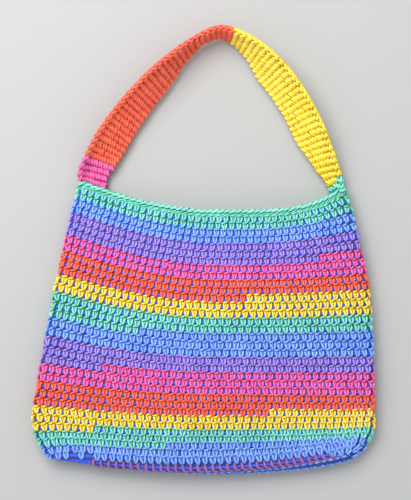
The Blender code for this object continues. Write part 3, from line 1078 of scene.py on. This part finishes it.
def add_backing(name, material_name, corners, faces, colour_names, painted_shade_share, part):
    """Add a piece of yarn deep in the fabric, each corner in one of the yarn's colours, darkened as
    painted shade for the holes between the stitches.
    """
    mesh = new_mesh(name, corners, faces)
    finish_mesh(mesh)
    dyes = bpy.context.scene.bag_dyes
    colours = []
    for colour_name in colour_names:
        colours.extend((*shade(getattr(dyes, colour_name), painted_shade_share), 1))
    layer = mesh.color_attributes.new("yarn_colour", "FLOAT_COLOR", "POINT")
    layer.data.foreach_set("color", colours)
    mesh.materials.append(backing_material(material_name))
    add_piece(mesh, name, *part)


# Settings


def metres(label, value, words):
    """A setting for a length."""
    return FloatProperty(name=label, description=words, unit="LENGTH", default=value)


class CrochetGauge(bpy.types.PropertyGroup):
    """Sizes of the stitches and how even they are."""

    base_width: metres("Stitch Width at the Base", 0.0061, "Width of a stitch in the first rounds")
    rim_width: metres("Stitch Width at the Rim", 0.0054, "Width of a stitch in the last rounds")
    strap_width: metres("Strap Stitch Width", 0.0046, "Width of one stitch of the strap")
    strap_rib: metres("Strap Rib", 0.0051, "Distance from one rib of the strap to the next")
    edge_link: metres("Rim Stitch", 0.0047, "Length of one slip stitch along the rim")
    cord_radius: metres("Cord Radius", 0.0017, "Half the thickness of the carried cord")
    turn_unevenness: FloatProperty(name="Turn Unevenness", subtype="ANGLE", default=0.13,
                                   description="How far a stitch may be turned out of line")
    size_unevenness: FloatProperty(name="Size Unevenness", subtype="FACTOR", default=0.10,
                                   description="How much larger or smaller a stitch may be")
    seed: IntProperty(name="Seed", default=4, description="Start of the random unevenness")


def dye(label, red, green, blue, words="Stretch of the yarn in this colour"):
    """A colour setting with its default given as it looks on a screen."""
    return FloatVectorProperty(name=label, description=words, subtype="COLOR", size=3,
                               min=0, max=1, default=srgb(red, green, blue))


class YarnDyes(bpy.types.PropertyGroup):
    """Colours of the yarn and the cord."""

    light_blue: dye("Light Blue", 90, 140, 246)
    green: dye("Green", 78, 190, 158)
    yellow: dye("Yellow", 255, 206, 12)
    orange: dye("Orange", 252, 82, 48)
    pink: dye("Pink", 242, 72, 152)
    purple: dye("Purple", 140, 108, 208)
    mauve: dye("Mauve", 150, 84, 140, "Yarn of the foundation")
    cord: dye("Cord", 34, 70, 226, "Cord carried inside the rounds")


class StageLook(bpy.types.PropertyGroup):
    """Floor, light and camera."""

    floor: dye("Floor", 178, 178, 177, "Plain floor under the bag")
    camera_height: metres("Camera Height", 0.90, "Height of the camera above the floor")
    key_strength: FloatProperty(name="Window Light", unit="POWER", default=18.0,
                                description="Power of the large soft light")
    sky_strength: FloatProperty(name="Room Light", default=0.80,
                                description="Strength of the light from all around")


# Painted highlight colour of each yarn, mixed into its main colour where the yarn stands out
HIGHLIGHT_COLOURS = {
    "light_blue": srgb(156, 196, 255),
    "green": srgb(150, 238, 222),
    "yellow": srgb(255, 238, 92),
    "orange": srgb(255, 122, 94),
    "pink": srgb(252, 122, 192),
    "purple": srgb(184, 156, 246),
    "mauve": srgb(168, 112, 172),
    "cord": srgb(60, 104, 250),
}


def yarn(colour_name):
    """The material of a yarn's colour, made once."""
    name = "yarn_" + colour_name
    known = bpy.data.materials.get(name)
    if known:
        return known
    dyes = bpy.context.scene.bag_dyes
    return yarn_material(name, tuple(getattr(dyes, colour_name)), HIGHLIGHT_COLOURS[colour_name])


# Pieces


class BAG_OT_backing(bpy.types.Operator):
    """Make the yarn deep inside the fabric of the body"""

    bl_idname = "crochet_bag.backing"
    bl_label = "Inner Yarn"

    def execute(self, context):
        rows = BACKING_ROWS
        columns = BACKING_COLUMNS
        distances = np.linspace(BACKING_START, BODY_LENGTH, rows)
        phases = np.arange(columns) / columns
        row_grid, phase_grid = np.meshgrid(distances, phases, indexing="ij")
        place, outward, along = BODY.at(row_grid, phase_grid)
        outer = place + outward * BACKING_OUT
        inner = (place - outward * BACKING_IN)[::-1]
        faces = band_faces(2 * rows, columns)
        for start in (0, (2 * rows - 1) * columns):
            for step in range(columns // 2):
                corners = []
                for turn in (-step, -step - 1, step + 1, step):
                    index = start + (columns // 4 + turn) % columns
                    if index not in corners:
                        corners.append(index)
                if len(corners) > 2:
                    faces.append(corners)
        names = [colour_at(spiral_turns(distance, (phase + FRONT_MIDDLE) % 1.0))
                 for distance in (*distances, *distances[::-1]) for phase in phases]
        # The inner yarn's row colours are darkened as painted shade in the holes
        add_backing("body_inner_yarn", "inner_yarn", np.concatenate((outer, inner)), faces, names,
                    BACKING_PAINTED_SHADE, BODY_PART)
        return {"FINISHED"}


class BAG_OT_body_stitches(bpy.types.Operator):
    """Work the rounds of the body, one piece for each colour of the yarn"""

    bl_idname = "crochet_bag.body_stitches"
    bl_label = "Body Stitches"

    def execute(self, context):
        shape = yarn_shape("body_stitch", BODY_STITCH, BODY_CREST)
        turns, widths = body_spots(context.scene.bag_gauge)
        distances = spiral_distance(turns)
        slants = BASE_SLANT * (1 - distances / BODY_LENGTH) + RIM_SLANT
        gaps = spiral_distance(turns + 0.5) - spiral_distance(turns - 0.5)
        heights = np.clip(gaps / ROUND_HEIGHT, *STITCH_STRETCH)
        spots = wall_spots(turns, distances, widths, heights, slants)
        lay_colours("stitches_", shape, [colour_at(turn) for turn in turns], BODY_COLOURS, spots,
                    0, BODY_PART)
        return {"FINISHED"}


class BAG_OT_foundation(bpy.types.Operator):
    """Work the mauve foundation along the base"""

    bl_idname = "crochet_bag.foundation"
    bl_label = "Foundation"

    def execute(self, context):
        shape = yarn_shape("foundation_stitch", FOUNDATION_STITCH, BODY_CREST)
        turns = np.linspace(*FOUNDATION_TURNS, FOUNDATION_COUNT)
        spots = wall_spots(turns, spiral_distance(turns), FOUNDATION_WIDTH, slant=FOUNDATION_SLANT)
        lay_stitches("foundation_stitches", shape, "mauve", spots, FOUNDATION_SEED, BODY_PART)
        shape = yarn_shape("under_stitch", UNDER_STITCH, BODY_CREST)
        turns = np.linspace(*LOOP_TURNS, LOOP_COUNT)
        spots = wall_spots(turns, np.full(LOOP_COUNT, LOOP_PLACE), LOOP_WIDTH)
        lay_stitches("foundation_loops", shape, "light_blue", spots, LOOP_SEED, BODY_PART)
        return {"FINISHED"}


class BAG_OT_cord(bpy.types.Operator):
    """Run the carried cord through every round of the body"""

    bl_idname = "crochet_bag.cord"
    bl_label = "Carried Cord"

    def execute(self, context):
        turns = np.arange(CORD_START, SPIRAL_TURNS[-1], 1 / CORD_STEPS)
        distances = spiral_distance(turns) - CORD_DROP
        place, outward, around = BODY.at(distances, turns - FRONT_MIDDLE)
        centre = place - outward * CORD_DEPTH
        up = np.cross(around, outward)
        angle = 2 * math.pi * np.arange(CORD_SIDES) / CORD_SIDES
        spokes = (outward[:, None] * np.cos(angle)[None, :, None]
                  + up[:, None] * np.sin(angle)[None, :, None])
        rings = centre[:, None] + spokes * context.scene.bag_gauge.cord_radius
        last = len(turns) * CORD_SIDES
        faces = band_faces(len(turns), CORD_SIDES)
        faces.append(tuple(range(CORD_SIDES))[::-1])
        faces.append(tuple(range(last - CORD_SIDES, last)))
        gone = path_lengths(centre) / MM
        marks = []
        for near, far in zip(gone, gone[1:]):
            for corner in range(CORD_SIDES):
                low = corner / CORD_SIDES
                high = (corner + 1) / CORD_SIDES
                marks.extend(((near, low), (near, high), (far, high), (far, low)))
        marks.extend([(0.0, 0.0)] * (2 * CORD_SIDES))
        mesh = new_mesh("carried_cord", rings, faces)
        layer = mesh.uv_layers.new(name="Strand")
        layer.data.foreach_set("uv", np.array(marks).ravel())
        # The cord's outward side is its crest: painted highlight there, painted shade on its other
        # sides
        crest = mesh.attributes.new("crest", "FLOAT", "POINT")
        crest.data.foreach_set("value", np.tile(np.clip(np.cos(angle), 0, 1), len(turns)))
        finish_mesh(mesh)
        mesh.materials.append(yarn("cord"))
        add_piece(mesh, "carried_cord", *BODY_PART)
        return {"FINISHED"}


class BAG_OT_rim(bpy.types.Operator):
    """Work the rolled edging around the mouth"""

    bl_idname = "crochet_bag.rim"
    bl_label = "Rim Edging"

    def execute(self, context):
        shape = yarn_shape("rim_stitch", RIM_STITCH, BODY_CREST)
        around = ring_length(RIM_PLACE)
        count = round(around / context.scene.bag_gauge.edge_link)
        spots = wall_spots(np.arange(count) / count, np.full(count, RIM_PLACE), around / count,
                           drawn=RIM_STITCH_MM)
        lay_stitches("rim_edging", shape, "green", spots, RIM_SEED, BODY_PART)
        return {"FINISHED"}


def strap_colour(distance, column):
    """Name of the strap's colour at a distance from its left root, at a share of its width."""
    found = STRAP_COLOURS[0][0]
    for name, inner, lip in STRAP_COLOURS:
        change = inner + (lip - inner) * (1 - column) ** STRAP_CHANGE_POWER
        if distance >= change:
            found = name
    return found


def rib_places(gauge):
    """Distances of the strap's ribs from its left root."""
    low, high = STRAP.rows[0], STRAP.rows[-1]
    ribs = round((high - low) / gauge.strap_rib)
    return low + (np.arange(ribs) + 0.5) * (high - low) / ribs


def lay_strap(label, shape, distances, columns, spots, seed):
    """Lay stitches of the strap as one piece for each colour of the yarn."""
    names = [strap_colour(*spot) for spot in zip(distances, columns)]
    colours = [name for name, inner, lip in STRAP_COLOURS]
    lay_colours(label, shape, names, colours, spots, seed, STRAP_PART)


class BAG_OT_strap_ribs(bpy.types.Operator):
    """Work the ribs of the strap, one piece for each colour of the yarn"""

    bl_idname = "crochet_bag.strap_ribs"
    bl_label = "Strap Ribs"

    def execute(self, context):
        gauge = context.scene.bag_gauge
        shape = yarn_shape("strap_stitch", STRAP_STITCH, STRAP_CREST)
        distances = []
        columns = []
        widths = []
        for distance in rib_places(gauge):
            section = STRAP.read(STRAP.points, np.full(SECTION_STEPS, distance),
                                 np.linspace(0, 1, SECTION_STEPS))
            width = path_lengths(section)[-1]
            count = round(width / gauge.strap_width)
            distances.append(np.full(count, distance))
            columns.append((np.arange(count) + 0.5) / count)
            widths.append(np.full(count, width / count / gauge.strap_width))
        distances, columns, widths = map(np.concatenate, (distances, columns, widths))
        place, outward, across = STRAP.at(distances, columns)
        size = np.ones_like(place)
        size[:, 0] = widths
        spots = (place, -outward, -across, size, np.zeros_like(place))
        lay_strap("strap_", shape, distances, columns, spots, STRAP_SEED)
        return {"FINISHED"}


class BAG_OT_strap_edges(bpy.types.Operator):
    """Work the chain along the strap's lip"""

    bl_idname = "crochet_bag.strap_edges"
    bl_label = "Strap Lip"

    def execute(self, context):
        shape = yarn_shape("strap_edge_stitch", STRAP_EDGE_STITCH, STRAP_CREST)
        distances = rib_places(context.scene.bag_gauge)
        columns = np.zeros_like(distances)
        place, outward, across = STRAP.at(distances, columns)
        spots = (place + across * LIP_SHIFT, -across, outward, np.ones_like(place),
                 np.zeros_like(place))
        lay_strap("strap_lip_", shape, distances, columns, spots, LIP_SEED)
        return {"FINISHED"}


class BAG_OT_strap_backing(bpy.types.Operator):
    """Make the yarn deep inside the strap"""

    bl_idname = "crochet_bag.strap_backing"
    bl_label = "Strap Inner Yarn"

    def execute(self, context):
        rows = STRAP_BACKING_ROWS
        columns = STRAP_BACKING_COLUMNS
        distances = np.linspace(STRAP.rows[0], STRAP.rows[-1], rows)
        shares = np.linspace(0, 1, columns)
        place, outward, across = STRAP.at(*np.meshgrid(distances, shares, indexing="ij"))
        rise = outward * STRAP_BACKING_HALF
        ring = np.concatenate((place + rise, (place - rise)[:, ::-1]), axis=1)
        around = 2 * columns
        faces = band_faces(rows, around)
        for start in (0, (rows - 1) * around):
            for column in range(columns - 1):
                faces.append((start + column, start + column + 1,
                              start + around - 2 - column, start + around - 1 - column))
        names = [strap_colour(distance, share)
                 for distance in distances for share in (*shares, *shares[::-1])]
        # The strap's inner yarn is darkened as painted shade in the grooves between its ribs
        add_backing("strap_inner_yarn", "strap_inner_yarn", ring, faces, names,
                    STRAP_BACKING_PAINTED_SHADE, STRAP_PART)
        return {"FINISHED"}


class BAG_OT_stage(bpy.types.Operator):
    """Lay the floor and set the light and the camera"""

    bl_idname = "crochet_bag.stage"
    bl_label = "Stage"

    def execute(self, context):
        look = context.scene.bag_stage
        corners = np.array([(x, y, FLOOR_LEVEL) for x, y in FLOOR_CORNERS])
        mesh = new_mesh("floor", corners, ((0, 1, 2, 3),))
        surface = (("Base Color", (*look.floor, 1)), ("Roughness", 0.85))
        mesh.materials.append(new_material("floor", surface)[0])
        floor = add_object("floor", mesh)

        world = bpy.data.worlds.new("room")
        world.use_nodes = True
        background = world.node_tree.nodes["Background"]
        background.inputs["Color"].default_value = SKY_COLOUR
        background.inputs["Strength"].default_value = look.sky_strength
        context.scene.world = world

        lamp = bpy.data.lights.new("window", "AREA")
        lamp.shape = "RECTANGLE"
        lamp.size, lamp.size_y = WINDOW_SIZE
        lamp.energy = look.key_strength
        window = add_object("window", lamp, WINDOW_PLACE)
        window.rotation_euler = (-window.location).to_track_quat("-Z", "Y").to_euler()

        lens = bpy.data.cameras.new("camera")
        lens.sensor_fit = "VERTICAL"
        lens.sensor_height = SENSOR_HEIGHT
        lens.lens = SENSOR_HEIGHT * look.camera_height / (PHOTO_HEIGHT_PX * METRES_PER_PX)
        context.scene.camera = add_object("camera", lens, (CAMERA_ACROSS, BASE_PLACE + CAMERA_UP,
                                                           look.camera_height))
        context.scene.view_settings.view_transform = "Standard"
        return {"FINISHED"}


class BAG_PT_sidebar(bpy.types.Panel):
    """Buttons and settings of the crochet bag"""

    bl_label = "Crochet Bag"
    bl_idname = "BAG_PT_sidebar"
    bl_space_type = "VIEW_3D"
    bl_region_type = "UI"
    bl_category = "Crochet Bag"

    def draw(self, context):
        for group in (context.scene.bag_gauge, context.scene.bag_dyes, context.scene.bag_stage):
            box = self.layout.box()
            for label in group.bl_rna.properties.keys():
                if label not in ("rna_type", "name"):
                    box.prop(group, label)
        for step in STEPS:
            self.layout.operator(step.bl_idname)


STEPS = (
    BAG_OT_backing,
    BAG_OT_cord,
    BAG_OT_foundation,
    BAG_OT_body_stitches,
    BAG_OT_rim,
    BAG_OT_strap_backing,
    BAG_OT_strap_ribs,
    BAG_OT_strap_edges,
    BAG_OT_stage,
)
SETTINGS = (("bag_gauge", CrochetGauge), ("bag_dyes", YarnDyes), ("bag_stage", StageLook))


def register():
    for name, group in SETTINGS:
        bpy.utils.register_class(group)
        setattr(bpy.types.Scene, name, PointerProperty(type=group))
    for part in (*STEPS, BAG_PT_sidebar):
        bpy.utils.register_class(part)


def unregister():
    for part in (BAG_PT_sidebar, *reversed(STEPS)):
        bpy.utils.unregister_class(part)
    for name, group in reversed(SETTINGS):
        delattr(bpy.types.Scene, name)
        bpy.utils.unregister_class(group)


def main():
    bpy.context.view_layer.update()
    register()
    bpy.ops.crochet_bag.backing()
    bpy.ops.crochet_bag.cord()
    bpy.ops.crochet_bag.foundation()
    bpy.ops.crochet_bag.body_stitches()
    bpy.ops.crochet_bag.rim()
    bpy.ops.crochet_bag.strap_backing()
    bpy.ops.crochet_bag.strap_ribs()
    bpy.ops.crochet_bag.strap_edges()
    bpy.ops.crochet_bag.stage()


if __name__ == "__main__":
    main()
